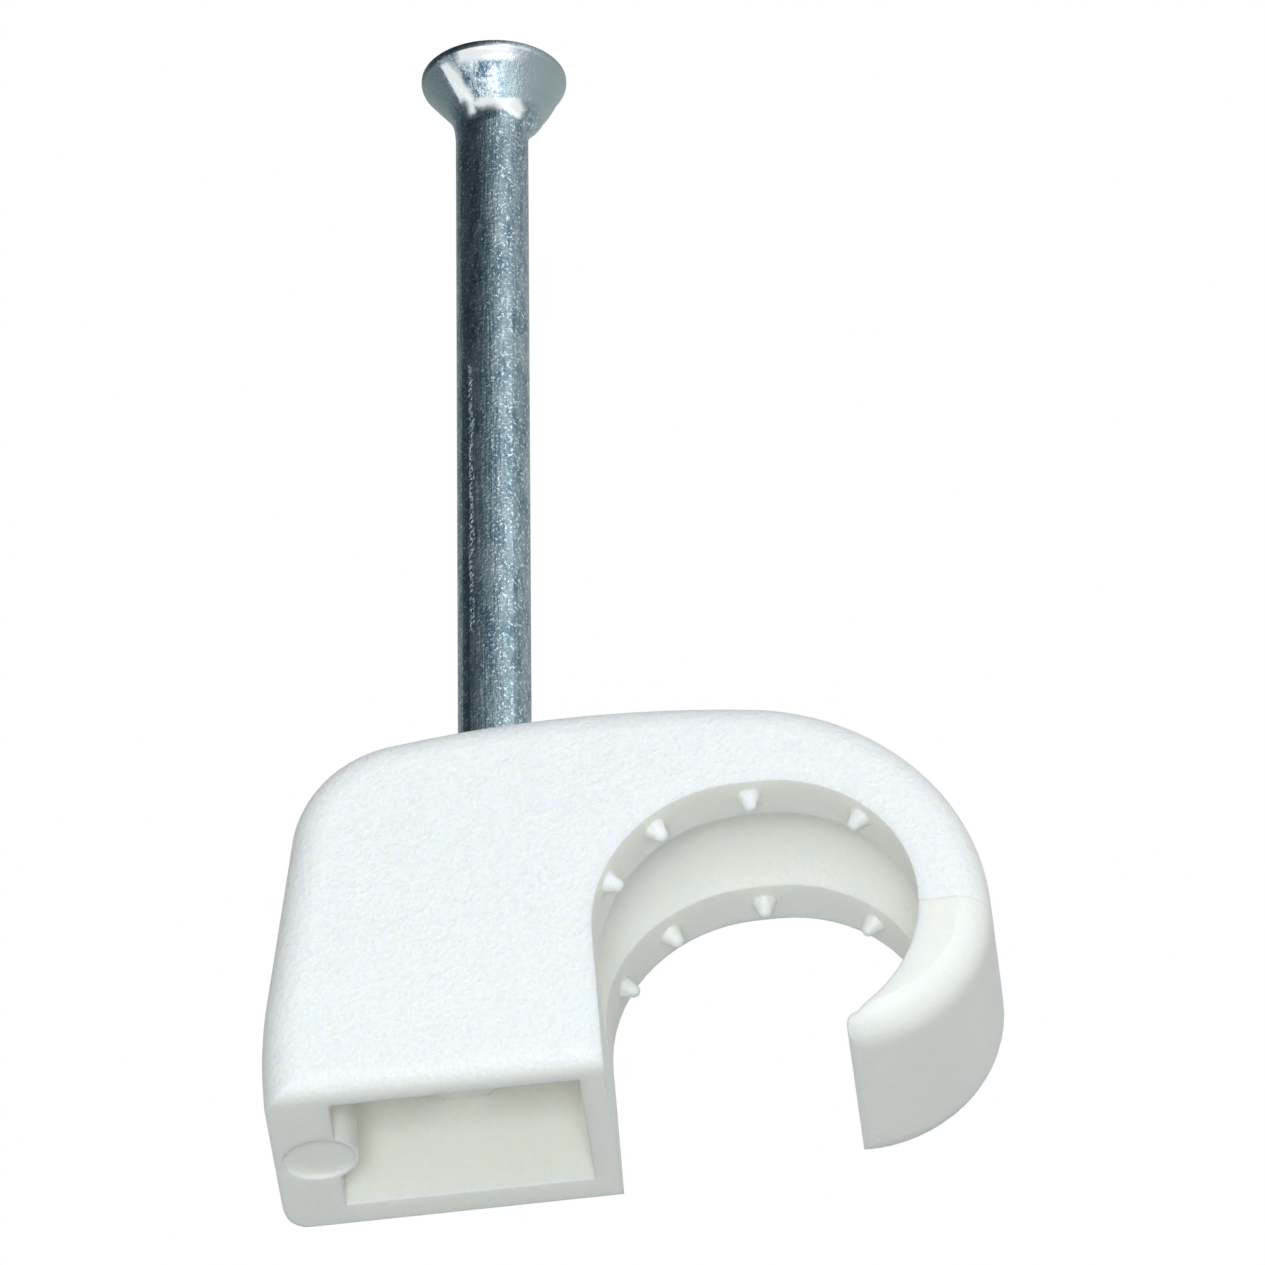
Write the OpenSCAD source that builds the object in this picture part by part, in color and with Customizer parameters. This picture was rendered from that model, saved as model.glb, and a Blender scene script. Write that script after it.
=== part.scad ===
// Cable clip: a one-piece moulded plastic body that hooks over a round cable,
// with a countersunk steel nail set part way into its block.
// The wall is the plane z = 0. X runs from the block to the hook, Y along the
// cable and Z away from the wall. The nail's axis meets the wall at the origin.
// Outlines are drawn in the X-Z plane, so a 2D point here is [x, z].

/* [Block] */
// Depth of the body along the cable
body_depth = 7.1; // [5.8:0.1:12]
// From the nail's axis to the block's outer side, at the wall
block_reach = 6; // [5:0.1:9]
// From the nail's axis to the wall of the cable channel, at the wall
channel_offset = 3.15; // [2.4:0.05:5]
// Lean of the block's outer side from upright, in degrees
side_lean = 11.5; // [4:0.5:14]
// Radius where the outer side bends from upright to leaning
waist_r = 14.5; // [6:0.5:20]
// Radius of the shoulder between the outer side and the roof
shoulder_r = 3.34; // [2:0.02:4]
// Radius of the long arc of the roof
roof_r = 35; // [26:1:60]
// Thickness of the block's roof above the level of the channel's top
roof_wall = 2.81; // [1.6:0.01:4]

/* [Channel] */
// Width of the cable channel
channel_w = 8.77; // [7:0.01:12]
// How far the radius on the block's side falls short of half the width
block_ease = 0.185; // [0.1:0.005:0.6]
// How far the radius on the hook's side falls short of half the width
hook_ease = 0.385; // [0.1:0.005:0.8]
// Angle below level at which the hook's nose ends the channel
nose_angle = 61.3; // [54:0.1:66]
// Width of the hollow groove along the middle of the channel's wall
groove_w = 3.7; // [2:0.1:4]
// Depth of that groove
groove_depth = 0.85; // [0.3:0.05:1.2]
// Wall left between the groove and the pocket
groove_wall = 0.35; // [0.2:0.05:0.5]
// Angle at which the groove ends in the hook, in degrees
groove_end = -22; // [-30:1:0]
// Angle at which it has run out into the block's upright wall, in degrees
groove_runout = 245; // [235:1:250]

/* [Hook] */
// Thickness of the hook at its side
hook_wall = 1.89; // [1.4:0.01:3]
// Thickness of the hook above the channel
crown_wall = 2.82; // [1.8:0.01:4]
// How far the centre of the hook's outer corner lies below the channel's centre
heel_drop = 0.08; // [0:0.01:0.4]
// Gap between the hook and the wall
hook_gap = 0.2; // [0:0.02:0.6]
// Radius of the hook's nose
nose_r = 0.28; // [0.2:0.01:0.4]
// How far the fine mould line lies below the channel's centre
mould_line_drop = 0.26; // [0:0.01:1]
// Step in the hook's faces below the mould line
mould_step = 0.04; // [0.02:0.01:0.08]

/* [Gripping pips] */
// Angles of the pips around the channel, where 90 is its top
pip_angles = [152, 123.5, 90, 48.5];
// Distance of the front row of pips from the front face
pip_inset = 0.72; // [0.5:0.02:1.2]
// Distance of the back row of pips from the back face
pip_inset_back = 0.92; // [0.5:0.02:1.2]
// Radius of a pip at its root, just under the channel's wall
pip_r = 0.38; // [0.28:0.01:0.42]
// Height of a pip
pip_h = 0.48; // [0.3:0.01:0.7]
// Radius of a pip's blunt tip
pip_tip_r = 0.19; // [0.1:0.01:0.24]

/* [Edges] */
// Rounding of the long outer edges of both faces
edge_round = 1.1; // [0.5:0.05:1.4]
// Rounding of the base's front edge
base_round = 0.6; // [0.2:0.05:0.7]
// Rounding of the base's back edge
base_back_round = 0.2; // [0.1:0.05:0.7]
// Rounding of the base's outer edge
base_side_round = 0.22; // [0.1:0.01:0.3]

/* [Pocket] */
// Wall of the pocket at the front
pocket_wall = 0.85; // [0.8:0.05:1.4]
// Wall of the pocket at the back
pocket_wall_back = 1.1; // [0.8:0.05:1.4]
// Wall between the pocket and the channel
pocket_channel_wall = 0.7; // [0.5:0.05:1.2]
// Solid land beside the pocket, at the block's outer side
pocket_land = 1.72; // [1.4:0.02:2.5]
// Depth of the pocket
pocket_depth = 3.7; // [3.3:0.05:4.5]
// Radius of the ejector mark on the land
mark_r = 0.97; // [0.5:0.01:1.1]
// Depth of the ejector mark
mark_depth = 0.14; // [0.05:0.01:0.3]
// From the block's outer side to the middle of the ejector mark
mark_inset = 1.22; // [1.2:0.01:2]
// Wall around the ejector mark where it bulges into the pocket
mark_wall = 0.12; // [0.05:0.01:0.4]
// Radius of the ejector pad that hangs at the pocket's back wall
pad_r = 0.9; // [0.5:0.05:1.1]
// How far the pad hangs below the pocket's ceiling
pad_drop = 0.75; // [0.3:0.05:1.5]
// From the nail's axis to the pad, towards the block's outer side
pad_offset = 0.85; // [0.6:0.05:1.5]

/* [Nail] */
// Length of the nail
nail_len = 30; // [22:1:50]
// Radius of the nail's shank
nail_r = 1; // [0.8:0.05:1.1]
// Lean of the nail towards the hook, in degrees
nail_lean = 3.8; // [0:0.2:6]
// Height of the nail's point above the wall, along its axis
nail_set = 4.2; // [3.8:0.05:7]
// Radius of the nail's head
head_r = 2; // [1.6:0.01:2.6]
// Thickness of the head's rim
rim_h = 0.24; // [0.2:0.02:0.6]
// Rounding of the rim's upper edge
rim_round = 0.1; // [0.05:0.01:0.15]
// Half angle of the head's cone, in degrees
cone_angle = 38; // [30:1:50]
// Radius of the neck between the cone and the shank
neck_r = 1.8; // [0.6:0.1:2.2]
// Length of the four-sided point
point_len = 2.6; // [1.5:0.1:3.5]
// Half width of the point's blunt end
point_flat = 0.1; // [0.05:0.01:0.2]
// Clearance of the nail in its bore, all round
nail_fit = 0.02; // [0.01:0.01:0.1]
// Width of the chamfer at the bore's mouth
mouth_chamfer = 0.2; // [0.1:0.05:0.4]

/* [Hidden] */
$fn = 96;

// How far a cutting shape runs past the surface that it cuts
past = 1;
// How far a joined shape sinks into the one that carries it
sink = 0.2;
// Depth of a pip's root under the channel's wall
pip_root = 0.1;
// How far a tighter arc stands proud of its neighbours, so that their faces cross
seam = 0.005;
// How far the edges' rounding reaches past a flat face, for the same reason
face_seam = 0.006;
// Reach of the outline's waste outside the rim
waste_w = 5;
// Angle by which a wide arc's waste runs on past the arc's end
spare_angle = 8;
// Angle by which the groove's arcs run on into its straight run
lap_angle = 3;
// Stretches of the outline, from the outer side over the top to the nose
outline_stretches = 8;
// Angle of the outward normal on each stretch of the outline
up = 90;
outward = 180;
down = 270;

half_depth = body_depth / 2;

// The nose arc touches the hook's underside and the channel's wall, and so the
// width of the channel also gives its height
channel_r_block = channel_w / 2 - block_ease;
channel_r_hook = channel_w / 2 - hook_ease;
nose_z = hook_gap + nose_r;
nose_reach = channel_r_hook + nose_r - seam;
channel_hook_c = [
    channel_offset + channel_w - channel_r_hook,
    nose_z + nose_reach * sin(nose_angle)
];
nose_c = channel_hook_c + nose_reach * direction(-nose_angle);
nose_touch = channel_hook_c + channel_r_hook * direction(-nose_angle);

// The channel's two arcs meet its top at one level
channel_top = channel_hook_c.y + channel_r_hook;
channel_block_c = [channel_offset + channel_r_block, channel_top - channel_r_block];

// The hook's outside is a crown arc that runs into a smaller heel arc
hook_x = channel_offset + channel_w + hook_wall;
heel_r = channel_hook_c.y - heel_drop - hook_gap;
heel_c = [hook_x - heel_r, hook_gap + heel_r];
crown_r = channel_top + crown_wall - heel_c.y;
crown_c = [hook_x - crown_r, heel_c.y];

// The outer side stands upright, bends in at the waist and leans to the shoulder
side_normal = outward - side_lean;
waist_c = [waist_r - block_reach, base_round];
shoulder_z = channel_top + roof_wall - shoulder_r;
shoulder_c = [
    waist_c.x + (waist_r - shoulder_r - (shoulder_z - waist_c.y) * sin(side_normal))
        / cos(side_normal),
    shoulder_z
];
side_top = shoulder_c + shoulder_r * direction(side_normal);
side_len = norm(side_top - waist_c - waist_r * direction(side_normal));

// The roof arc touches the shoulder arc and the crown arc from outside
roof_c = arc_centre(shoulder_c, roof_r - shoulder_r, crown_c, roof_r - crown_r);
roof_from = angle_of(crown_c - roof_c);
roof_to = angle_of(shoulder_c - roof_c);

// The groove's section is a circle through both of its edges. The groove has its
// full depth over the channel and fades towards the pocket, so on the block's side
// it turns about a higher centre.
groove_arc_r = (pow(groove_w / 2, 2) + pow(groove_depth, 2)) / (2 * groove_depth);
groove_fade = max(groove_depth + groove_wall - pocket_channel_wall, 0);
groove_block_c = channel_block_c + [0, groove_fade];

// Sides of the pocket, and the middle of the ejector mark
pocket_x0 = pocket_land - block_reach;
pocket_x1 = channel_offset - pocket_channel_wall;
pocket_y0 = pocket_wall - half_depth;
pocket_y1 = half_depth - pocket_wall_back;
mark_x = mark_inset - block_reach;

// Nail and bore
bore_r = nail_r + nail_fit;
axis_dir = [sin(nail_lean), cos(nail_lean)];
bore_top = axis_dir * roof_c
    + sqrt(pow(roof_r, 2) - roof_c * roof_c + pow(axis_dir * roof_c, 2));
neck_h = neck_r * sin(cone_angle);
neck_w = neck_r * (1 - cos(cone_angle));
cone_h = (head_r - nail_r - neck_w) / tan(cone_angle);
shank_top = nail_len - rim_h - cone_h - neck_h;

function unit(v) = v / norm(v);
function direction(angle) = [cos(angle), sin(angle)];
function angle_of(v) = atan2(v.y, v.x);

// The lower point at distance ra from a and rb from b, the centre of an arc over both
function arc_centre(a, ra, b, rb) =
    let (
        d = norm(b - a),
        along = (d * d + ra * ra - rb * rb) / (2 * d),
        aside = sqrt(ra * ra - along * along),
        u = unit(b - a)
    )
    a + along * u + aside * [u.y, -u.x];

// The point of the channel's wall at an angle, and its top's middle at 90
function channel_point(angle) =
    angle > up ? channel_block_c + channel_r_block * direction(angle)
    : angle < up ? channel_hook_c + channel_r_hook * direction(angle)
    : [(channel_block_c.x + channel_hook_c.x) / 2, channel_top];

// Stands an X-Z outline up and gives it a depth along Y, centred on y = 0
module along_cable(depth = body_depth) {
    rotate([90, 0, 0]) linear_extrude(height = depth, center = true) children();
}

// Turns a section about an axis along Y, from one angle to another in the X-Z plane
module turned(centre, from, to) {
    translate([centre.x, 0, centre.y])
        rotate([90, 0, 0])
            rotate([0, 0, from])
                rotate_extrude(angle = to - from) children();
}

// Runs a section from a point, at right angles to its outward normal
module straight(point, normal, length, spare = 0) {
    translate([point.x, 0, point.y])
        rotate([0, -normal, 0])
            translate([0, 0, -spare])
                linear_extrude(height = length + 2 * spare) children();
}

// Section of what lies outside the body's rim: outwards is +X, and the rim's
// two corners are round. A proud rim has slightly larger rounding.
module rim_waste(outer, proud = 0) {
    radius = edge_round + proud;
    round_c = [outer + proud - radius, half_depth - radius + face_seam];
    difference() {
        translate([round_c.x, -half_depth - past])
            square([radius + waste_w, body_depth + 2 * past]);
        translate([round_c.x - radius, -round_c.y])
            square([2 * radius, 2 * round_c.y]);
        for (side = [-1, 1])
            translate([round_c.x, side * round_c.y]) circle(r = radius);
    }
}

// What one stretch of the rounded outline takes off the blank. Straight runs and
// the roof reach past their ends, clear of the body; the tighter arcs stop there.
module outline_waste(stretch) {
    if (stretch == 1)
        straight([-block_reach, waist_c.y], outward, waist_c.y, past) rim_waste(0);
    if (stretch == 2)
        turned(waist_c, side_normal, outward) rim_waste(waist_r, seam);
    if (stretch == 3)
        straight(side_top, side_normal, side_len, past) rim_waste(0);
    if (stretch == 4)
        turned(shoulder_c, roof_to, side_normal) rim_waste(shoulder_r, seam);
    if (stretch == 5)
        turned(roof_c, roof_from - spare_angle, roof_to + spare_angle) rim_waste(roof_r);
    if (stretch == 6)
        turned(crown_c, -spare_angle, roof_from) rim_waste(crown_r, seam);
    if (stretch == 7)
        turned(heel_c, down - 360, 0) rim_waste(heel_r, 2 * seam);
    if (stretch == 8)
        straight([nose_c.x, hook_gap], down, heel_c.x - nose_c.x, past) rim_waste(0);
}

// Blank with the cable channel through it and the round nose of the hook
module blank() {
    difference() {
        translate([-block_reach - past, -half_depth, 0])
            cube([block_reach + hook_x + 2 * past, body_depth, channel_top + roof_wall + past]);
        channel_void();
    }
    along_cable() translate(nose_c) circle(r = nose_r);
}

// The blank with its outline cut, one stretch after another
module outlined(stretches) {
    if (stretches == 0)
        blank();
    else
        difference() {
            outlined(stretches - 1);
            outline_waste(stretches);
        }
}

// Cable channel and the mouth that leads up to it from the wall
module channel_void() {
    for (arc = [[channel_block_c, channel_r_block], [channel_hook_c, channel_r_hook]])
        along_cable(body_depth + 2 * past) translate(arc[0]) circle(r = arc[1]);
    along_cable(body_depth + 2 * past)
        polygon([
            [channel_offset, -past],
            [channel_offset, channel_block_c.y],
            channel_block_c,
            [channel_block_c.x, channel_top],
            [channel_hook_c.x, channel_top],
            channel_hook_c,
            nose_touch,
            nose_c,
            [nose_c.x, -past]
        ]);
}

// Section of the groove, measured from the centre of a channel arc
module groove_section(wall_r) {
    intersection() {
        translate([wall_r + groove_depth - groove_arc_r, 0]) circle(r = groove_arc_r);
        translate([wall_r / 2, -groove_w]) square([wall_r, 2 * groove_w]);
    }
}

// Hollow groove around the channel, which runs out on the block's upright wall
module groove() {
    turned(groove_block_c, up - lap_angle, groove_runout)
        groove_section(channel_r_block - groove_fade);
    straight(channel_hook_c, up, channel_hook_c.x - channel_block_c.x)
        groove_section(channel_r_hook + seam);
    turned(channel_hook_c, groove_end, up + lap_angle) groove_section(channel_r_hook);
}

// One pip, with its root under z = 0
module pip() {
    cone_len = pip_h + pip_root - pip_tip_r;
    translate([0, 0, -pip_root]) cylinder(h = cone_len, r1 = pip_r, r2 = pip_tip_r);
    translate([0, 0, cone_len - pip_root]) sphere(r = pip_tip_r);
}

// Two rows of pips that grip the cable's sheath
module pips() {
    for (y = [pip_inset - half_depth, half_depth - pip_inset_back], angle = pip_angles) {
        foot = channel_point(angle);
        translate([foot.x, y, foot.y]) rotate([0, -angle - 90, 0]) pip();
    }
}

// What rounds an edge takes away: outwards is +X, and the base is y = 0
module edge_waste(radius) {
    difference() {
        translate([-radius, -past]) square([radius + past, radius + past]);
        translate([-radius, radius]) circle(r = radius);
    }
}

// Rounding of the base's front, back and outer edges
module base_edges() {
    for (edge = [[0, base_round], [1, base_back_round]])
        mirror([0, edge[0], 0])
            translate([channel_offset + past, -half_depth, 0])
                rotate([90, 0, -90])
                    linear_extrude(height = block_reach + channel_offset + 2 * past)
                        edge_waste(edge[1]);
    translate([-block_reach, -half_depth - past, 0])
        rotate([90, 0, 180])
            linear_extrude(height = body_depth + 2 * past) edge_waste(base_side_round);
}

// Pocket in the base, around the column of the ejector mark and the ejector pad
module pocket() {
    difference() {
        translate([pocket_x0, pocket_y0, -past])
            cube([pocket_x1 - pocket_x0, pocket_y1 - pocket_y0, pocket_depth + past]);
        translate([mark_x, 0, -2 * past])
            cylinder(h = pocket_depth + 3 * past, r = mark_r + mark_wall);
        translate([-pad_offset, pocket_y1 + sink - pad_r, pocket_depth - pad_drop])
            cylinder(h = pad_drop + past, r = pad_r);
    }
}

// Bore for the nail, through the roof into the pocket, with a chamfered mouth
module nail_bore() {
    rotate([0, nail_lean, 0]) {
        translate([0, 0, pocket_depth - sink])
            cylinder(h = bore_top - pocket_depth + sink + past, r = bore_r);
        translate([0, 0, bore_top - mouth_chamfer])
            cylinder(h = 2 * mouth_chamfer, r1 = bore_r, r2 = bore_r + 2 * mouth_chamfer);
    }
}

// The hook's faces lie a little deeper below the fine mould line
module mould_steps() {
    for (side = [0, 1])
        mirror([0, side, 0])
            translate([channel_hook_c.x, half_depth - mould_step, -past])
                cube([
                    hook_x + past - channel_hook_c.x,
                    past,
                    channel_hook_c.y - mould_line_drop + past
                ]);
}

module clip_body() {
    color("whitesmoke") {
        difference() {
            outlined(outline_stretches);
            groove();
            base_edges();
            pocket();
            translate([mark_x, 0, -past]) cylinder(h = past + mark_depth, r = mark_r);
            mould_steps();
            nail_bore();
        }
        pips();
    }
}

// Half section of the nail about its axis, from its point up to the top of its head
module nail_section() {
    square([nail_r, shank_top + neck_h]);
    difference() {
        polygon([
            [0, shank_top],
            [nail_r + neck_r, shank_top],
            [nail_r + neck_w, shank_top + neck_h],
            [0, shank_top + neck_h]
        ]);
        translate([nail_r + neck_r, shank_top]) circle(r = neck_r + seam);
    }
    polygon([
        [0, nail_len - rim_h - head_r / tan(cone_angle)],
        [head_r, nail_len - rim_h],
        [head_r, nail_len - rim_round],
        [0, nail_len - rim_round]
    ]);
    translate([0, nail_len - rim_h]) square([head_r - rim_round, rim_h]);
    translate([head_r - rim_round, nail_len - rim_round]) circle(r = rim_round);
}

// Wedge that cuts two opposite faces of the nail's point
module point_wedge() {
    slope = (nail_r - point_flat) / point_len;
    rotate([90, 0, 0])
        linear_extrude(height = 4 * head_r, center = true)
            polygon([
                [-point_flat, 0],
                [point_flat, 0],
                [point_flat + slope * nail_len, nail_len],
                [-point_flat - slope * nail_len, nail_len]
            ]);
}

module nail() {
    color("lightslategray")
        rotate([0, nail_lean, 0])
            translate([0, 0, nail_set])
                intersection() {
                    rotate_extrude() nail_section();
                    point_wedge();
                    rotate([0, 0, 90]) point_wedge();
                }
}

clip_body();
nail();
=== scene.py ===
# %% [markdown]
# # A cable clip with its nail
#
# The part is a small white moulding that hooks over a round cable, and a zinc
# plated nail that stands in it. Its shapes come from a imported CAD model, in metres,
# and this lesson gives them their surfaces, a floor, some light and a camera.
# Loading the frame comes first, because every later step asks it where things are.

# %% Load the CAD frame
import math

import bmesh
import bpy
from mathutils import Matrix, Vector, noise


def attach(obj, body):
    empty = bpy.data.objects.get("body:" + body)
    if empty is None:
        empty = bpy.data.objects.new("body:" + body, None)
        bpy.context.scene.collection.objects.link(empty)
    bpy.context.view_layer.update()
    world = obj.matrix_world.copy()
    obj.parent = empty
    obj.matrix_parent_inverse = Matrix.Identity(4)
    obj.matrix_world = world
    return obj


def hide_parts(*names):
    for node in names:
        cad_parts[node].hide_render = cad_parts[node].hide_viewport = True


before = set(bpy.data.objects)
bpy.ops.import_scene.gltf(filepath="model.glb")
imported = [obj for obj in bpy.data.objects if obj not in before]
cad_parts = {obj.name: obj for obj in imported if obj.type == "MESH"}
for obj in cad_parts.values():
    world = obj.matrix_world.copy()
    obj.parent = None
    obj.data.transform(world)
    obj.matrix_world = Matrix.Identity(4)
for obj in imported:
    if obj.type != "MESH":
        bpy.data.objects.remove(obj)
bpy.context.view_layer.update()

MM = 0.001


def in_mm(corners):
    """Points in metres as rounded mm, for printing."""
    return [[round(v / MM, 2) for v in corner] for corner in corners]


print("CAD nodes:", sorted(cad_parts))

# %% [markdown]
# ## The camera
#
# The clip was photographed from in front and well below, through a long lens, so
# its parallel edges stay nearly parallel. A perspective camera can be placed by
# hand, or worked out from edges whose true lengths are known. The second way was
# used: these angles put the base, the channel and the nail where the picture has
# them. The camera is turned about its own line of sight too, which tips the clip.

# %% Place the camera
VIEW_AZIMUTH = 2.0
VIEW_ELEVATION = -32.5
VIEW_ROLL = 5.0
VIEW_DISTANCE = 545 * MM
VIEW_TARGET = Vector((5.054, -7.015, 11.124)) * MM
LENS_MM = 580.07
SENSOR_MM = 36
FARTHEST = 10  # metres, so that the floor isn't cut off behind the clip


def camera_turn(azimuth, elevation, roll):
    """Turn of a camera that looks along +Y at azimuth and elevation 0."""
    around = Matrix.Rotation(math.radians(azimuth), 3, "Z")
    tilt = Matrix.Rotation(math.radians(90 - elevation), 3, "X")
    twist = Matrix.Rotation(math.radians(-roll), 3, "Z")
    return around @ tilt @ twist


lens = bpy.data.cameras.new("camera")
lens.lens = LENS_MM
lens.sensor_width = SENSOR_MM
lens.clip_end = FARTHEST
camera = bpy.data.objects.new("camera", lens)
bpy.context.scene.collection.objects.link(camera)
turn = camera_turn(VIEW_AZIMUTH, VIEW_ELEVATION, VIEW_ROLL)
camera.matrix_world = Matrix.Translation(
    VIEW_TARGET + turn @ Vector((0, 0, VIEW_DISTANCE))) @ turn.to_4x4()
bpy.context.scene.camera = camera
print("camera stands at, in mm:", in_mm([camera.matrix_world.translation]))

# %% [markdown]
# ## Colours and nodes
#
# Colours are written as they look on a screen, in sRGB hex, and Blender works with
# linear light, so one function converts them. The Standard view transform then
# shows a colour about as it is written. Another function adds a node, sets what it
# is told to and links its inputs, which keeps each material short to read, and a
# third starts a material with nothing in it.


# %% Helpers for materials
def colour(code):
    """Linear RGBA of an sRGB hex code."""
    parts = [int(code[i:i + 2], 16) / 255 for i in (1, 3, 5)]
    return [c / 12.92 if c <= 0.04045 else ((c + 0.055) / 1.055) ** 2.4 for c in parts] + [1.0]


def node(tree, kind, inputs=None, **settings):
    """Adds a node. inputs holds values, or sockets to link, by name or number."""
    new = tree.nodes.new(kind)
    for name, value in settings.items():
        setattr(new, name, value)
    for key, value in (inputs or {}).items():
        if isinstance(value, bpy.types.NodeSocket):
            tree.links.new(value, new.inputs[key])
        else:
            new.inputs[key].default_value = value
    return new


def material(name):
    """A material without nodes, and its node tree."""
    made = bpy.data.materials.new(name)
    made.use_nodes = True
    made.node_tree.nodes.clear()
    return made, made.node_tree


bpy.context.scene.view_settings.view_transform = "Standard"
print("linear value of #808080:", [round(v, 3) for v in colour("#808080")])

# %% [markdown]
# ## The room
#
# The world stands for the room. It could be one even grey, but a metal only looks
# like metal when there is something dark for it to mirror. So the nail sees a
# bright room with one dark side, high up on the left, and a ceiling somewhat dimmer
# than the walls. A direction's height is its Z on a sphere of radius 1.

# %% World: what the metal mirrors
DARK_SIDE = (-0.68, -0.39, 0.62)  # the way to its middle
DARK_EDGE = (0.30, 0.88)  # cosine from that way where it starts, and where it is full
DARK_LEVEL = 0.12
CEILING_EDGE = (0.05, 0.5)  # heights where the ceiling starts, and where it is full
CEILING_LEVEL = 0.68

world = bpy.data.worlds.new("studio")
bpy.context.scene.world = world
world.use_nodes = True
tree = world.node_tree
tree.nodes.clear()
way = node(tree, "ShaderNodeTexCoord")
toward = node(tree, "ShaderNodeVectorMath", {0: way.outputs["Generated"], 1: DARK_SIDE},
              operation="DOT_PRODUCT")
shade = node(tree, "ShaderNodeMapRange", {
    "Value": toward.outputs["Value"], "From Min": DARK_EDGE[0], "From Max": DARK_EDGE[1],
    "To Min": 1.0, "To Max": DARK_LEVEL}, interpolation_type="SMOOTHSTEP")
height = node(tree, "ShaderNodeSeparateXYZ", {0: way.outputs["Generated"]})
ceiling = node(tree, "ShaderNodeMapRange", {
    "Value": height.outputs["Z"], "From Min": CEILING_EDGE[0],
    "From Max": CEILING_EDGE[1], "To Min": 1.0, "To Max": CEILING_LEVEL})
mirror = node(tree, "ShaderNodeMath", {0: shade.outputs[0], 1: ceiling.outputs[0]},
              operation="MULTIPLY")
print("darkest and ceiling levels:", DARK_LEVEL, CEILING_LEVEL)

# %% [markdown]
# The plastic is lit by a dimmer and more even room, which is darkest from below.
# The Light Path node tells who is looking: a glossy ray gets what the metal
# mirrors, tinted blue on the dark side as daylight shade is, any other ray gets the
# dim room in a cool white, and the camera gets plain white, also through anything
# clear.

# %% World: light and tint
WORLD_LIGHT = 0.46
FLOOR_SIDE_LIGHT = 0.26
FLOOR_SIDE_EDGE = (-0.9, 0.1)  # heights from the floor side's light to the world's
COOL_WHITE = colour("#F4FAFF")

path = node(tree, "ShaderNodeLightPath")
to_camera = node(tree, "ShaderNodeMath", {
    0: path.outputs["Is Camera Ray"], 1: path.outputs["Is Transmission Ray"]},
    operation="MAXIMUM")
even = node(tree, "ShaderNodeMapRange", {
    "Value": height.outputs["Z"], "From Min": FLOOR_SIDE_EDGE[0],
    "From Max": FLOOR_SIDE_EDGE[1], "To Min": FLOOR_SIDE_LIGHT, "To Max": WORLD_LIGHT})
room = node(tree, "ShaderNodeMix", {
    0: path.outputs["Is Glossy Ray"], 2: even.outputs[0], 3: mirror.outputs[0]})
strength = node(tree, "ShaderNodeMath", {0: to_camera.outputs[0], 1: room.outputs[0]},
                operation="MAXIMUM")
blue = node(tree, "ShaderNodeMix", {
    0: shade.outputs[0], 6: colour("#9CC8DA"), 7: colour("#FAFDFC")}, data_type="RGBA")
mirrored = node(tree, "ShaderNodeMix", {
    0: path.outputs["Is Glossy Ray"], 6: COOL_WHITE, 7: blue.outputs[2]},
    data_type="RGBA")
tint = node(tree, "ShaderNodeMix", {
    0: to_camera.outputs[0], 6: mirrored.outputs[2], 7: colour("#FFFFFF")},
    data_type="RGBA")
sky = node(tree, "ShaderNodeBackground", {
    "Color": tint.outputs[2], "Strength": strength.outputs[0]})
node(tree, "ShaderNodeOutputWorld", {"Surface": sky.outputs[0]})
print("world nodes:", len(tree.nodes))

# %% [markdown]
# ## The floor
#
# The clip stands on its base on a plain white floor, but the camera looks up at it
# from below that floor. The floor could be left out, but then the other views would
# show no ground. So it is a sheet just under the clip, which neither blocks the
# lamps nor counts in the light that reaches the clip.

# %% Floor: sheet
FLOOR_HALF_MM = 600
FLOOR_GAP_MM = 0.02  # so that the sheet and the clip's base don't share a plane

floor_mesh = bpy.data.meshes.new("floor")
sheet = bmesh.new()
bmesh.ops.create_grid(sheet, x_segments=1, y_segments=1, size=FLOOR_HALF_MM * MM,
                      matrix=Matrix.Translation((0, 0, -FLOOR_GAP_MM * MM)))
sheet.to_mesh(floor_mesh)
sheet.free()
floor = bpy.data.objects.new("floor", floor_mesh)
bpy.context.scene.collection.objects.link(floor)
floor.visible_shadow = False
floor.visible_diffuse = False
print("floor half width in mm:", FLOOR_HALF_MM)

# %% [markdown]
# The sheet's underside is see-through, and its top is white paper that shows the
# clip's shadow. The paper's own light is only for the camera and for the metal that
# mirrors it. It lifts the paper to white, and the shadow stays as its only mark.

# %% Floor: paper
FLOOR_LIFT = 0.38

paper, tree = material("white_paper_floor")
matt = node(tree, "ShaderNodeBsdfDiffuse", {"Color": colour("#F2F2F2")})
path = node(tree, "ShaderNodeLightPath")
watched = node(tree, "ShaderNodeMath", {
    0: path.outputs["Is Camera Ray"], 1: path.outputs["Is Glossy Ray"]},
    operation="MAXIMUM")
lift = node(tree, "ShaderNodeMath", {0: watched.outputs[0], 1: FLOOR_LIFT},
            operation="MULTIPLY")
glow = node(tree, "ShaderNodeEmission", {
    "Color": colour("#FFFFFF"), "Strength": lift.outputs[0]})
top = node(tree, "ShaderNodeAddShader", {0: matt.outputs[0], 1: glow.outputs[0]})
clear = node(tree, "ShaderNodeBsdfTransparent")
side = node(tree, "ShaderNodeNewGeometry")
two_sided = node(tree, "ShaderNodeMixShader", {
    0: side.outputs["Backfacing"], 1: top.outputs[0], 2: clear.outputs[0]})
node(tree, "ShaderNodeOutputMaterial", {"Surface": two_sided.outputs[0]})
floor_mesh.materials.append(paper)
print("paper nodes:", len(tree.nodes))

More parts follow.
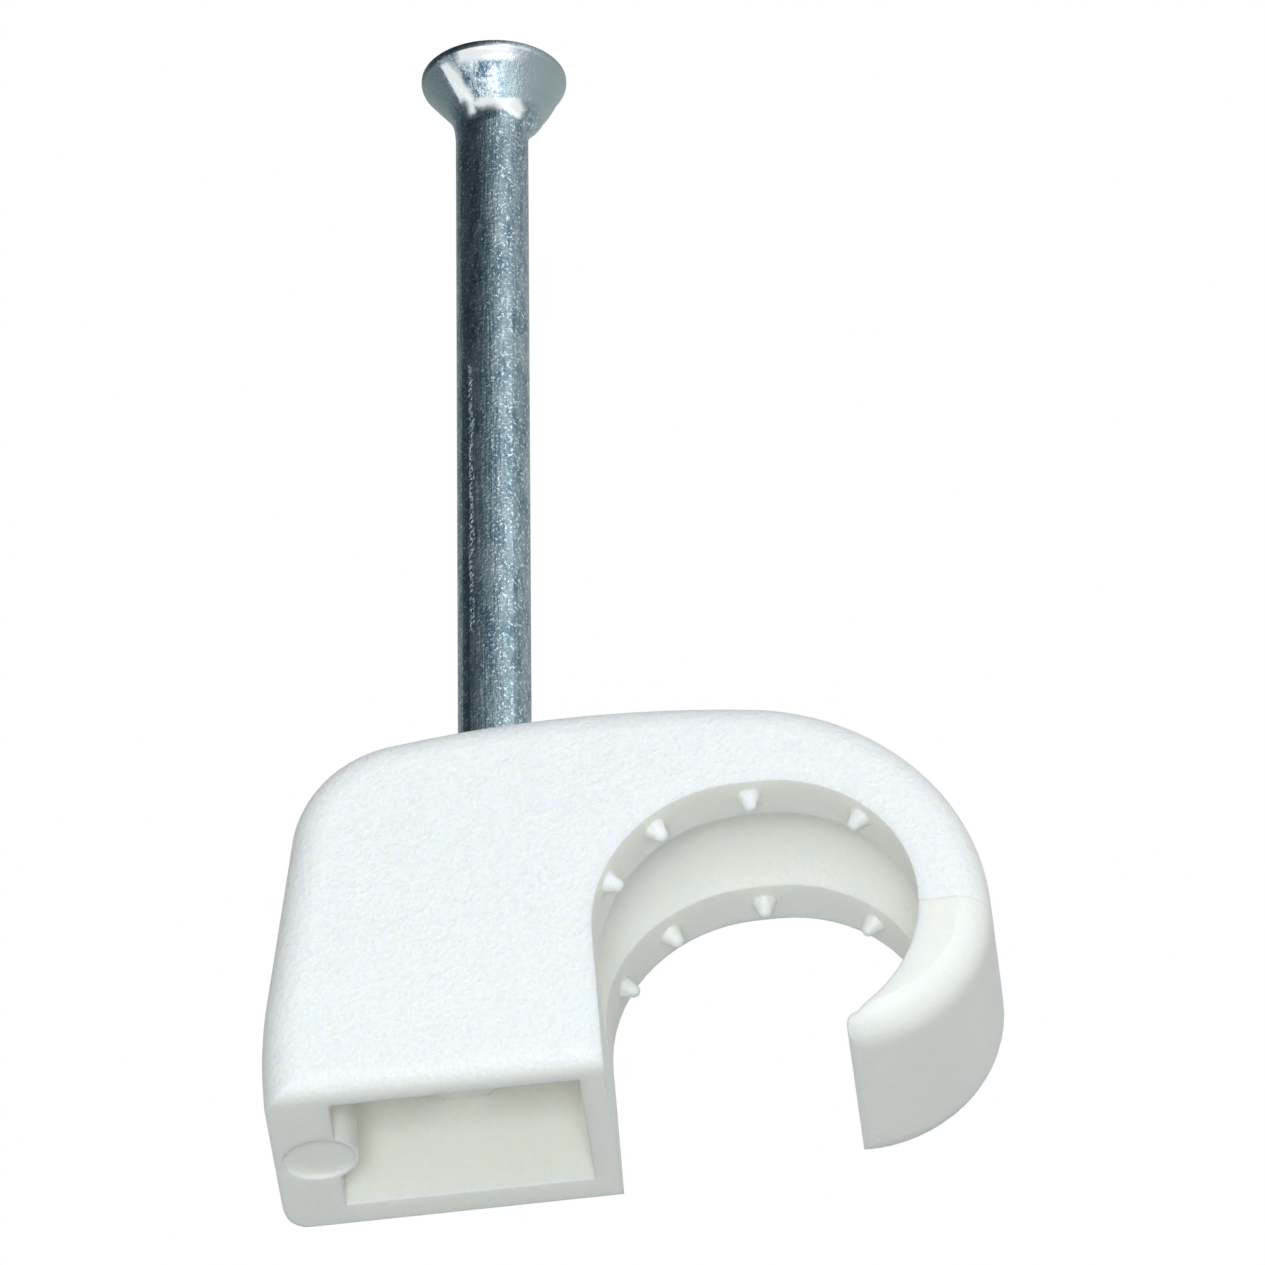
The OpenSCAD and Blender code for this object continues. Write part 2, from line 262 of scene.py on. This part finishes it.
# %% [markdown]
# ## The lamps
#
# One lamp could light the clip, but the pocket and the channel would then be too
# dark, because the camera looks into them from below. So there are two. The large
# one stands in front, to the right and a little above, and gives the front its
# white and the left side its soft shade. The other stands just in front of the
# camera, which looks through it from behind, and lights all that faces the camera.


# %% Lamps
CLIP_MIDDLE_MM = Vector((4, 0, 8))


def lamp(name, place_mm, size_mm, watts):
    """An area lamp that points at the clip. Its size is width and height."""
    light = bpy.data.lights.new(name, "AREA")
    light.shape = "RECTANGLE"
    light.size, light.size_y = size_mm[0] * MM, size_mm[1] * MM
    light.energy = watts
    light.color = COOL_WHITE[:3]
    holder = bpy.data.objects.new(name, light)
    bpy.context.scene.collection.objects.link(holder)
    aim = (CLIP_MIDDLE_MM - Vector(place_mm)).normalized()
    holder.matrix_world = Matrix.Translation(Vector(place_mm) * MM) \
        @ aim.to_track_quat("-Z", "Y").to_matrix().to_4x4()


lamp("key_lamp", place_mm=(281, -322, 98), size_mm=(360, 300), watts=0.50)
lamp("camera_lamp", place_mm=(0, -370, -212), size_mm=(150, 150), watts=1.11)

# %% [markdown]
# ## White moulded plastic
#
# The body is moulded in a white polypropylene, a slightly waxy plastic. The tool's
# front and back faces were spark eroded, which leaves a fine pebbled grain on the
# outer faces. On the hook the grain stops at the mould line, and below it, as on
# the edges and inside the channel and the pocket, the plastic is polished smooth.
# Where the grain is could be painted by hand. Here it is worked out from the
# surface's place and direction, so that it follows the shape on both faces.

# %% Plastic: where the grain is
MOULD_LINE_MM = 3.97  # above the wall
HOOK_SIDE_MM = 7.6  # from the nail's axis; the mould line shows beyond it
OUTER_FACE_MM = 2.8  # from the middle of the clip's depth
FACING_EDGE = (0.35, 0.85)  # how far a surface faces forwards or back, none to all grain

plastic, tree = material("white_moulded_polypropylene")
body_place = node(tree, "ShaderNodeTexCoord")
point = node(tree, "ShaderNodeSeparateXYZ", {0: body_place.outputs["Object"]})
facing = node(tree, "ShaderNodeSeparateXYZ", {0: body_place.outputs["Normal"]})
flat = node(tree, "ShaderNodeMath", {0: facing.outputs["Y"]}, operation="ABSOLUTE")
on_face = node(tree, "ShaderNodeMapRange", {
    "Value": flat.outputs[0], "From Min": FACING_EDGE[0], "From Max": FACING_EDGE[1]})
on_block = node(tree, "ShaderNodeMath", {0: point.outputs["X"], 1: HOOK_SIDE_MM * MM},
                operation="LESS_THAN")
above = node(tree, "ShaderNodeMath", {0: point.outputs["Z"], 1: MOULD_LINE_MM * MM},
             operation="GREATER_THAN")
zone = node(tree, "ShaderNodeMath", {0: on_block.outputs[0], 1: above.outputs[0]},
            operation="MAXIMUM")
from_middle = node(tree, "ShaderNodeMath", {0: point.outputs["Y"]}, operation="ABSOLUTE")
outside = node(tree, "ShaderNodeMath", {0: from_middle.outputs[0], 1: OUTER_FACE_MM * MM},
               operation="GREATER_THAN")
outer_face = node(tree, "ShaderNodeMath", {0: on_face.outputs[0], 1: outside.outputs[0]},
                  operation="MULTIPLY")
eroded = node(tree, "ShaderNodeMath", {0: zone.outputs[0], 1: outer_face.outputs[0]},
              operation="MULTIPLY")
print("grained faces start, in mm from the middle:", OUTER_FACE_MM)

# %% [markdown]
# The grain could be real dents in the mesh, but they are far too small for that. It
# is a noise that tilts the surface normals, and the Bevel node rounds them at sharp
# edges by less than a tenth of a millimetre, as no moulded edge is perfectly sharp.

# %% Plastic: grain
GRAIN_MM = 0.15  # a little coarser than the real grain, so that it shows
GRAIN_DEPTH_MM = 0.08
POLISHED_SHARE = 0.4  # of the grain that is left where the tool was polished
EDGE_ROUND_MM = 0.08
EDGE_SAMPLES = 6

grain = node(tree, "ShaderNodeTexNoise", {
    "Vector": body_place.outputs["Object"], "Scale": 1 / (GRAIN_MM * MM),
    "Detail": 2.0, "Roughness": 0.6})
depth = node(tree, "ShaderNodeMapRange", {
    "Value": eroded.outputs[0], "To Min": POLISHED_SHARE, "To Max": 1.0})
soft = node(tree, "ShaderNodeBevel", {"Radius": EDGE_ROUND_MM * MM}, samples=EDGE_SAMPLES)
bump = node(tree, "ShaderNodeBump", {
    "Height": grain.outputs[0], "Strength": depth.outputs[0],
    "Distance": GRAIN_DEPTH_MM * MM, "Normal": soft.outputs[0]})
print("grain spacing and depth in mm:", GRAIN_MM, GRAIN_DEPTH_MM)

# %% [markdown]
# The white isn't quite even: it drifts a little over millimetres, and the polished
# places are creamier. The grain's pits hold some shade, and so does the mould line,
# a hair of plastic across the hook where the two halves of the tool met. Both take
# the same soft grey, and the deeper of the two wins.

# %% Plastic: colour
CLOUD_MM = 2.5
PIT_EDGE = (0.36, 0.56)  # grain values where a pit is deepest, and where it ends
PIT_SHADE = 0.22
LINE_HALF_MM = 0.02
LINE_SHADE = 0.4

cloud = node(tree, "ShaderNodeTexNoise", {
    "Vector": body_place.outputs["Object"], "Scale": 1 / (CLOUD_MM * MM), "Detail": 1.0})
white = node(tree, "ShaderNodeMix", {
    0: cloud.outputs[0], 6: colour("#F9FAF5"), 7: colour("#FCFDF8")}, data_type="RGBA")
moulded = node(tree, "ShaderNodeMix", {
    0: eroded.outputs[0], 6: colour("#F4F4EB"), 7: white.outputs[2]}, data_type="RGBA")
pitted = node(tree, "ShaderNodeMapRange", {
    "Value": grain.outputs[0], "From Min": PIT_EDGE[0], "From Max": PIT_EDGE[1],
    "To Min": PIT_SHADE, "To Max": 0.0})
hollow = node(tree, "ShaderNodeMath", {0: pitted.outputs[0], 1: depth.outputs[0]},
              operation="MULTIPLY")
at_line = node(tree, "ShaderNodeMath", {
    0: point.outputs["Z"], 1: MOULD_LINE_MM * MM, 2: LINE_HALF_MM * MM},
    operation="COMPARE")
on_hook = node(tree, "ShaderNodeMapRange", {
    "Value": on_block.outputs[0], "To Min": LINE_SHADE, "To Max": 0.0})
line = node(tree, "ShaderNodeMath", {0: at_line.outputs[0], 1: on_hook.outputs[0]},
            operation="MULTIPLY")
shaded = node(tree, "ShaderNodeMath", {0: hollow.outputs[0], 1: line.outputs[0]},
              operation="MAXIMUM")
coloured = node(tree, "ShaderNodeMix", {
    0: shaded.outputs[0], 6: moulded.outputs[2], 7: colour("#E0E1DC")}, data_type="RGBA")
print("pits and mould line, share of the grey:", PIT_SHADE, LINE_SHADE)

# %% [markdown]
# Polypropylene lets a little light through: its thin walls glow, and that is why
# the channel and the pocket look creamy and not grey. A diffuse white would need
# extra lamps to fake that, so subsurface scattering is used, with a depth near the
# walls' own thickness. Red light goes deepest. The grain makes the outer faces
# rougher than the polished places.

# %% Plastic: skin
POLISHED_ROUGHNESS = 0.42
GRAINED_ROUGHNESS = 0.58
PLASTIC_IOR = 1.49
SCATTER_SHARE = 0.7
SCATTER_MM = 0.8

matt_level = node(tree, "ShaderNodeMapRange", {
    "Value": eroded.outputs[0], "To Min": POLISHED_ROUGHNESS,
    "To Max": GRAINED_ROUGHNESS})
skin = node(tree, "ShaderNodeBsdfPrincipled", {
    "Base Color": coloured.outputs[2], "Roughness": matt_level.outputs[0],
    "IOR": PLASTIC_IOR, "Subsurface Weight": SCATTER_SHARE,
    "Subsurface Radius": (1.0, 0.85, 0.65), "Subsurface Scale": SCATTER_MM * MM,
    "Normal": bump.outputs[0]})
node(tree, "ShaderNodeOutputMaterial", {"Surface": skin.outputs[0]})
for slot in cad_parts["clip_body"].material_slots:
    slot.material = plastic
print("plastic slots:", len(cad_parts["clip_body"].material_slots))

# %% [markdown]
# ## The nail
#
# The nail is cut from wire. Its head is struck cold between two dies, which leaves
# it a little off centre, with a sharp crease where the dies met, a dent beside the
# crease and a bulge on the other side. The CAD nail has the true sizes but a
# perfect head, so a new piece of the same sizes stands for it. It could be carved
# from a copy of the CAD mesh, but a half outline spun about the axis gives even
# rings and columns, and the marks of the dies can then be pressed in by moving
# those points. The nail is made upright on its point, in millimetres, and is put in
# its place at the end.

# %% Nail: sizes
NAIL_LEN = 30.0
NAIL_R = 1.0
HEAD_R = 2.0
RIM_H = 0.24
RIM_ROUND = 0.1
RIM_FOOT_ROUND = 0.07
CONE_ANGLE = 38  # degrees from the axis
NECK_R = 1.8
POINT_LEN = 2.6
POINT_FLAT = 0.1

cone_foot = NAIL_LEN - RIM_H - (HEAD_R - NAIL_R) / math.tan(math.radians(CONE_ANGLE))
neck_reach = NECK_R * math.tan(math.radians(CONE_ANGLE / 2))
neck_start = cone_foot - neck_reach
print("neck in mm, from", round(neck_start, 2), "to", round(cone_foot + neck_reach, 2))

# %% [markdown]
# The half outline is a wire of six points in the plane y = 0. Rounding its corners
# with a bevel of the points gives the rim's edge and the neck's hollow curve. The
# cone's one long edge is then cut into many, because the marks need points there.

# %% Nail: half outline
CONE_CUTS = 26
LONG_EDGE = 0.3

nail = bmesh.new()
corners = [nail.verts.new((x, 0, z)) for x, z in (
    (0, NAIL_LEN), (HEAD_R, NAIL_LEN), (HEAD_R, NAIL_LEN - RIM_H),
    (NAIL_R, cone_foot), (NAIL_R, 0), (0, 0))]
for a, b in zip(corners, corners[1:]):
    nail.edges.new((a, b))
for corner, reach, segments in ((corners[1], RIM_ROUND, 5),
                                (corners[2], RIM_FOOT_ROUND, 4),
                                (corners[3], neck_reach, 20)):
    bmesh.ops.bevel(nail, geom=[corner], offset=reach, offset_type="OFFSET",
                    segments=segments, profile=0.5, affect="VERTICES", material=-1)
cone = [e for e in nail.edges if min(v.co.z for v in e.verts) > cone_foot
        and e.calc_length() > LONG_EDGE and min(v.co.x for v in e.verts) > NAIL_R]
bmesh.ops.subdivide_edges(nail, edges=cone, cuts=CONE_CUTS)
print("outline points:", len(nail.verts), "cone edges:", len(cone))

# %% [markdown]
# The outline is spun about the nail's axis. On the real nail the wire was pinched
# off between cutters, which left a square point. Its four facets could be built one
# by one, but four planes that cut the spun shape do just what the cutters did, and
# each cut is filled.

# %% Nail: spin and point
COLUMNS = 300
MERGE_WITHIN = 0.0005
CUT_WITHIN = 1e-5

bmesh.ops.spin(nail, geom=nail.verts[:] + nail.edges[:], cent=(0, 0, 0), axis=(0, 0, 1),
               dvec=(0, 0, 0), angle=math.tau, steps=COLUMNS, use_merge=True,
               use_duplicate=False)
bmesh.ops.remove_doubles(nail, verts=nail.verts[:], dist=MERGE_WITHIN)
slope = (NAIL_R - POINT_FLAT) / POINT_LEN
for facet in range(4):
    swing = Matrix.Rotation(math.radians(90 * facet), 3, "Z")
    bmesh.ops.bisect_plane(nail, geom=nail.verts[:] + nail.edges[:] + nail.faces[:],
                           dist=CUT_WITHIN, plane_co=swing @ Vector((POINT_FLAT, 0, 0)),
                           plane_no=swing @ Vector((1, 0, -slope)), clear_outer=True)
    bmesh.ops.holes_fill(nail, edges=[e for e in nail.edges if e.is_boundary], sides=0)
bmesh.ops.recalc_face_normals(nail, faces=nail.faces[:])
print("open edges:", sum(e.is_boundary for e in nail.edges), "faces:", len(nail.faces))

# %% [markdown]
# ## The marks of the dies
#
# Each point of the head knows its height above the nail's point, in millimetres,
# and its angle around the nail, in degrees, 0 being the front and 90 a quarter turn
# to the right. Two small functions turn those into soft patches, and each slope of
# a patch is given as its start and its end. A third function gives what the marks
# share: the crease, which bends a little at the neck, and the width of the dent's
# wall beside it, which is steep at the rim and wanders with a noise.


# %% Nail: where the marks are
def ease(value, start, end):
    """0 at start, 1 at end, smooth in between."""
    t = min(max((value - start) / (end - start), 0), 1)
    return t * t * (3 - 2 * t)


def between(value, rise, fall):
    """1 between two slopes and 0 outside them, each slope being a start and an end."""
    return ease(value, *rise) * (1 - ease(value, *fall))


CREASE = -47
CREASE_BEND = 5
BEND_HEIGHTS = (28.2, 28.95)
LOW_HEIGHTS = (28.4, 29.6)
WALL_WIDTHS = (5, 15)  # at the rim, and how much more at the neck
WALL_WANDER = 5
WANDER_SCALE = 2.2


def head_point(co):
    """Angle, wander, lowness, crease angle and wall width at a point of the head."""
    wander = noise.noise(co * WANDER_SCALE)
    low = 1 - ease(co.z, *LOW_HEIGHTS)
    crease = CREASE + CREASE_BEND * (1 - ease(co.z, *BEND_HEIGHTS))
    wall = WALL_WIDTHS[0] + WALL_WIDTHS[1] * low + WALL_WANDER * wander
    return math.degrees(math.atan2(co.x, -co.y)), wander, low, crease, wall


print("crease angle at the rim and at the neck:", CREASE, CREASE + CREASE_BEND)

# %% [markdown]
# The marks differ in finish too, and a noise alone can't know where they are. So
# each point carries three numbers for the material, as attributes: how far it is
# painted as a highlight of the lamp, on the crease's wall, in a band around the neck
# and on the rim; how far it lies in the rough dent; and how far its zinc is plain and clean.

# %% Nail: finish of the marks
WALL_HEIGHTS = (28.15, 28.3), (29.6, 29.7)
WALL_RISE = 2
WALL_FADE = 8
BAND_HEIGHT = 28.47
BAND_HALF = (0.11, 0.22)  # from all to none
BAND_SINKS = 0.003  # mm a degree, past the angle below
BAND_SINKS_FROM = 20
BAND_WANDER = 0.10
BAND_RISE = 4
BAND_END = (45, 58)
RIM_HEIGHTS = (29.42, 29.60), (29.78, 29.88)
RIM_ANGLES = (-36, -22), (8, 34)
RIM_WANDER = 14
ROUGH_HEIGHTS = (28.6, 28.8), (29.4, 29.6)
ROUGH_END = (-8, 28)
CLEAN_HEIGHTS = (28.3, 28.8)
CLEAN_FROM = (0, 30)
CLEAN_FADE = 3

painted_highlight = nail.verts.layers.float.new("painted_highlight")
struck = nail.verts.layers.float.new("struck")
clean = nail.verts.layers.float.new("clean")
head = [v for v in nail.verts if v.co.z >= neck_start]
for v in head:
    z = v.co.z
    around, wander, _, crease, wall = head_point(v.co)
    wall_end = (crease + wall, crease + wall + WALL_FADE)
    beside = between(around, (crease, crease + WALL_RISE), wall_end) \
        * between(z, *WALL_HEIGHTS)
    off_band = z - BAND_HEIGHT + BAND_WANDER * wander \
        + BAND_SINKS * max(around - BAND_SINKS_FROM, 0)
    band = (1 - ease(abs(off_band), *BAND_HALF)) \
        * between(around, (crease, crease + BAND_RISE), BAND_END)
    rim_spot = between(z, *RIM_HEIGHTS) * between(around + RIM_WANDER * wander, *RIM_ANGLES)
    # painted highlights of the lamp: the crease's wall, the band around the neck and the rim
    # spot
    v[painted_highlight] = max(beside, band, rim_spot)
    v[struck] = between(around, wall_end, ROUGH_END) * between(z, *ROUGH_HEIGHTS)
    far_from_dent = max(ease(around, *CLEAN_FROM),
                        1 - ease(around, crease - CLEAN_FADE, crease))
    v[clean] = far_from_dent * ease(z, *CLEAN_HEIGHTS)
# the points counted here are those in the painted highlights
print("burnished points:", sum(v[painted_highlight] > 0.5 for v in head), "of", len(head))

# %% [markdown]
# Now the shape. The whole head shifts by a fraction of a millimetre, the dent goes
# in right of the crease, deepest at the neck, and the far side bulges.

# %% Nail: shape of the marks
HEAD_SHIFT = 0.06
SHIFT_HEIGHTS = (27.9, 28.7)
DENT_DEPTHS = (0.06, 0.11)  # at the rim, and how much more at the neck
DENT_HEIGHTS = (27.95, 28.35), (29.55, 29.76)
DENT_END = (-15, 38)
BULGE = 0.17
BULGE_HEIGHTS = (28.3, 28.68), (28.9, 29.76)
BULGE_ANGLES = (15, 70), (150, 180)

deepest = 0
for v in head:
    x, y, z = v.co
    around, _, low, crease, wall = head_point(v.co)
    out = Vector((x, y, 0)).normalized()
    dent = (DENT_DEPTHS[0] + DENT_DEPTHS[1] * low) * between(z, *DENT_HEIGHTS) \
        * between(around, (crease, crease + wall), DENT_END)
    bulge = BULGE * between(around, *BULGE_ANGLES) * between(z, *BULGE_HEIGHTS)
    v.co += out * (bulge - dent)
    v.co.x += HEAD_SHIFT * ease(z, *SHIFT_HEIGHTS)
    deepest = max(deepest, dent)
print("deepest dent in mm:", round(deepest, 3))

# %% [markdown]
# Last, the nail goes from millimetres to metres and to its place. Its axis meets
# the wall at the origin and leans towards the hook, and it is set part way in.

# %% Nail: put in place
NAIL_LEAN = 3.8  # degrees
NAIL_SET = 4.2  # from the wall to its point
SHARP_ANGLE = 40

nail_mesh = bpy.data.meshes.new("struck_nail")
bmesh.ops.transform(nail, verts=nail.verts[:], matrix=Matrix.Scale(MM, 4)
                    @ Matrix.Rotation(math.radians(NAIL_LEAN), 4, "Y")
                    @ Matrix.Translation((0, 0, NAIL_SET)))
for f in nail.faces:
    f.smooth = True
nail.to_mesh(nail_mesh)
nail.free()
nail_mesh.set_sharp_from_angle(angle=math.radians(SHARP_ANGLE))
nail_piece = bpy.data.objects.new("struck_nail", nail_mesh)
bpy.context.scene.collection.objects.link(nail_piece)
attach(nail_piece, "root")
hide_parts("nail")
print("nail box in mm, new:", in_mm([[pick(v.co[i] for v in nail_mesh.vertices)
                                      for i in range(3)] for pick in (min, max)]))

# %% [markdown]
# ## Zinc plated steel
#
# The steel is plated with bright zinc, blue-grey and never even: crystals of the
# coat glint as small specks, the wire's drawing left fine lines along the shank, and
# darker and lighter patches run with them. One noise could not do all three, so
# each has its own, at its own size, and those that the drawing made are stretched
# along the nail.

# %% Zinc: specks, lines and patches
SPECK_MM = 0.09
LINE_MM = 0.09
LINE_DRAWN = 0.06  # scale along the nail, so the lines are 17 times as long as wide
PATCH_MM = 0.4
PATCH_DRAWN = 0.35

zinc, tree = material("zinc_plated_steel")
nail_place = node(tree, "ShaderNodeTexCoord")
upright = node(tree, "ShaderNodeMapping", {
    "Vector": nail_place.outputs["Object"], "Rotation": (0, -math.radians(NAIL_LEAN), 0)})
specks = node(tree, "ShaderNodeTexNoise", {
    "Vector": upright.outputs[0], "Scale": 1 / (SPECK_MM * MM),
    "Detail": 3.0, "Roughness": 0.65})
along = node(tree, "ShaderNodeMapping", {
    "Vector": upright.outputs[0], "Scale": (1, 1, LINE_DRAWN)})
lines = node(tree, "ShaderNodeTexNoise", {
    "Vector": along.outputs[0], "Scale": 1 / (LINE_MM * MM), "Detail": 2.0})
drawn = node(tree, "ShaderNodeMapping", {
    "Vector": upright.outputs[0], "Scale": (1, 1, PATCH_DRAWN)})
patches = node(tree, "ShaderNodeTexNoise", {
    "Vector": drawn.outputs[0], "Scale": 1 / (PATCH_MM * MM),
    "Detail": 5.0, "Roughness": 0.75})
print("specks, lines and patches in mm:", SPECK_MM, LINE_MM, PATCH_MM)

# %% [markdown]
# The dies gripped the shank while the head was struck, which left two seams on
# opposite sides. They could be ridges in the mesh, but they are only about a tenth
# of a millimetre wide, and broken into dashes. So they are a line through the
# nail's axis, seen from above, which strays with the patches and shows where the
# specks are bright.

# %% Zinc: seams of the grip
SEAM_AT = math.radians(-33)
SEAM_HALF_MM = (0.10, 0.02)  # from none to all
SEAM_STRAY_MM = 0.4
SEAM_BREAKS = (0.48, 0.62)  # speck values from gap to seam
GRIP_MIDDLE_MM = 20  # along the nail from the wall
GRIP_HALF_MM = 4.3

across = node(tree, "ShaderNodeVectorMath", {
    0: upright.outputs[0], 1: (math.cos(SEAM_AT), math.sin(SEAM_AT), 0)},
    operation="DOT_PRODUCT")
stray = node(tree, "ShaderNodeMath", {
    0: patches.outputs[0], 1: SEAM_STRAY_MM * MM, 2: -SEAM_STRAY_MM / 2 * MM},
    operation="MULTIPLY_ADD")
strayed = node(tree, "ShaderNodeMath", {0: across.outputs["Value"], 1: stray.outputs[0]},
               operation="ADD")
aside = node(tree, "ShaderNodeMath", {0: strayed.outputs[0]}, operation="ABSOLUTE")
near_seam = node(tree, "ShaderNodeMapRange", {
    "Value": aside.outputs[0], "From Min": SEAM_HALF_MM[0] * MM,
    "From Max": SEAM_HALF_MM[1] * MM})
dashes = node(tree, "ShaderNodeMapRange", {
    "Value": specks.outputs[0], "From Min": SEAM_BREAKS[0], "From Max": SEAM_BREAKS[1]})
nail_point = node(tree, "ShaderNodeSeparateXYZ", {0: upright.outputs[0]})
gripped = node(tree, "ShaderNodeMath", {
    0: nail_point.outputs["Z"], 1: GRIP_MIDDLE_MM * MM, 2: GRIP_HALF_MM * MM},
    operation="COMPARE")
held = node(tree, "ShaderNodeMath", {0: near_seam.outputs[0], 1: gripped.outputs[0]},
            operation="MULTIPLY")
seam = node(tree, "ShaderNodeMath", {0: held.outputs[0], 1: dashes.outputs[0]},
            operation="MULTIPLY")
print("grip in mm, from", GRIP_MIDDLE_MM - GRIP_HALF_MM, "to", GRIP_MIDDLE_MM + GRIP_HALF_MM)

# %% [markdown]
# The colour comes in layers. First the blue-grey coat with its patches. Then the
# dent, where the coat is mottled dark and bright, and the cleaner zinc on the rest
# of the head, with painted shade on its left side and painted light towards the hook.

# %% Zinc: colour of the coat
PATCH_EDGE = (0.36, 0.64)  # patch values from dark to light
MOTTLE_EDGE = (0.42, 0.60)
SHADE_SIDES_MM = (-0.5, 0.5)  # across the nail, from the darker side to the lighter

uneven = node(tree, "ShaderNodeMapRange", {
    "Value": patches.outputs[0], "From Min": PATCH_EDGE[0], "From Max": PATCH_EDGE[1]})
coat = node(tree, "ShaderNodeMix", {
    0: uneven.outputs[0], 6: colour("#5A7380"), 7: colour("#99A9AE")}, data_type="RGBA")
dark = node(tree, "ShaderNodeMapRange", {
    "Value": patches.outputs[0], "From Min": MOTTLE_EDGE[0], "From Max": MOTTLE_EDGE[1],
    "To Min": 1.0, "To Max": 0.0})
mottled = node(tree, "ShaderNodeMix", {
    0: dark.outputs[0], 6: colour("#DCE6EA"), 7: colour("#5A7080")}, data_type="RGBA")
dented = node(tree, "ShaderNodeAttribute", attribute_name="struck")
dull = node(tree, "ShaderNodeMix", {
    0: dented.outputs["Fac"], 6: coat.outputs[2], 7: mottled.outputs[2]},
    data_type="RGBA")
# painted light and shade: the clean zinc goes from darker on the left to lighter towards the
# hook
sides = node(tree, "ShaderNodeMapRange", {
    "Value": nail_point.outputs["X"], "From Min": SHADE_SIDES_MM[0] * MM,
    "From Max": SHADE_SIDES_MM[1] * MM})
clean_with_painted_sides = node(tree, "ShaderNodeMix", {
    0: sides.outputs[0], 6: colour("#758588"), 7: colour("#96A4A6")}, data_type="RGBA")
wiped = node(tree, "ShaderNodeAttribute", attribute_name="clean")
smooth = node(tree, "ShaderNodeMix", {
    0: wiped.outputs["Fac"], 6: dull.outputs[2], 7: clean_with_painted_sides.outputs[2]}, data_type="RGBA")
print("coat nodes:", len(tree.nodes))

# %% [markdown]
# Specks and seams glint wherever the zinc isn't clean. Shine alone could show them,
# but such small mirrors rarely catch a lamp, so they are lighter in colour too.
# Where highlights are painted, on the crease's wall, the neck band and the rim, the zinc is
# coloured nearly white.

# %% Zinc: colour of specks, seams and painted highlights
GLINT_EDGE = (0.54, 0.67)  # speck values from none to all

glints = node(tree, "ShaderNodeMapRange", {
    "Value": specks.outputs[0], "From Min": GLINT_EDGE[0], "From Max": GLINT_EDGE[1]})
bright = node(tree, "ShaderNodeMath", {0: glints.outputs[0], 1: seam.outputs[0]},
              operation="MAXIMUM")
unwiped = node(tree, "ShaderNodeMath", {0: 1.0, 1: wiped.outputs["Fac"]},
               operation="SUBTRACT")
spotted = node(tree, "ShaderNodeMath", {0: bright.outputs[0], 1: unwiped.outputs[0]},
               operation="MULTIPLY")
glinting = node(tree, "ShaderNodeMix", {
    0: spotted.outputs[0], 6: smooth.outputs[2], 7: colour("#DDE7EA")}, data_type="RGBA")
highlight_paint = node(tree, "ShaderNodeAttribute", attribute_name="painted_highlight")
# painted highlights: the colour goes nearly white there
metal = node(tree, "ShaderNodeMix", {
    0: highlight_paint.outputs["Fac"], 6: glinting.outputs[2], 7: colour("#FDFFFF")},
    data_type="RGBA")
print("coat, speck and burnish nodes:", len(tree.nodes))

# %% [markdown]
# Specks, lines and seams also stand up a little, by hundredths of a millimetre, and
# break up what the metal mirrors. Between the specks the coat is duller. Where
# highlights are painted, the zinc is smooth and shiny instead. The metal keeps the default
# IOR.

# %% Zinc: relief and shine
COAT_ROUGHNESS = (0.48, 0.30)  # between the specks, and on them
HIGHLIGHT_ROUGHNESS = 0.2
RELIEF_MM = 0.025
# the second share of relief is for the painted highlights
RELIEF_SHARES = (0.65, 0.1)  # plain, and burnished

dusty = node(tree, "ShaderNodeMapRange", {
    "Value": specks.outputs[0], "To Min": COAT_ROUGHNESS[0], "To Max": COAT_ROUGHNESS[1]})
rough = node(tree, "ShaderNodeMix", {
    0: highlight_paint.outputs["Fac"], 2: dusty.outputs[0], 3: HIGHLIGHT_ROUGHNESS})
heights = node(tree, "ShaderNodeMath", {0: specks.outputs[0], 1: lines.outputs[0]},
               operation="ADD")
raised = node(tree, "ShaderNodeMath", {0: heights.outputs[0], 1: seam.outputs[0]},
              operation="ADD")
relief_level = node(tree, "ShaderNodeMapRange", {
    "Value": highlight_paint.outputs["Fac"], "To Min": RELIEF_SHARES[0],
    "To Max": RELIEF_SHARES[1]})
relief = node(tree, "ShaderNodeBump", {
    "Height": raised.outputs[0], "Strength": relief_level.outputs[0],
    "Distance": RELIEF_MM * MM})
shine = node(tree, "ShaderNodeBsdfPrincipled", {
    "Base Color": metal.outputs[2], "Metallic": 1.0, "Roughness": rough.outputs[0],
    "Normal": relief.outputs[0]})
node(tree, "ShaderNodeOutputMaterial", {"Surface": shine.outputs[0]})
nail_mesh.materials.append(zinc)
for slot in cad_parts["nail"].material_slots:
    slot.material = zinc
print("zinc nodes:", len(tree.nodes))
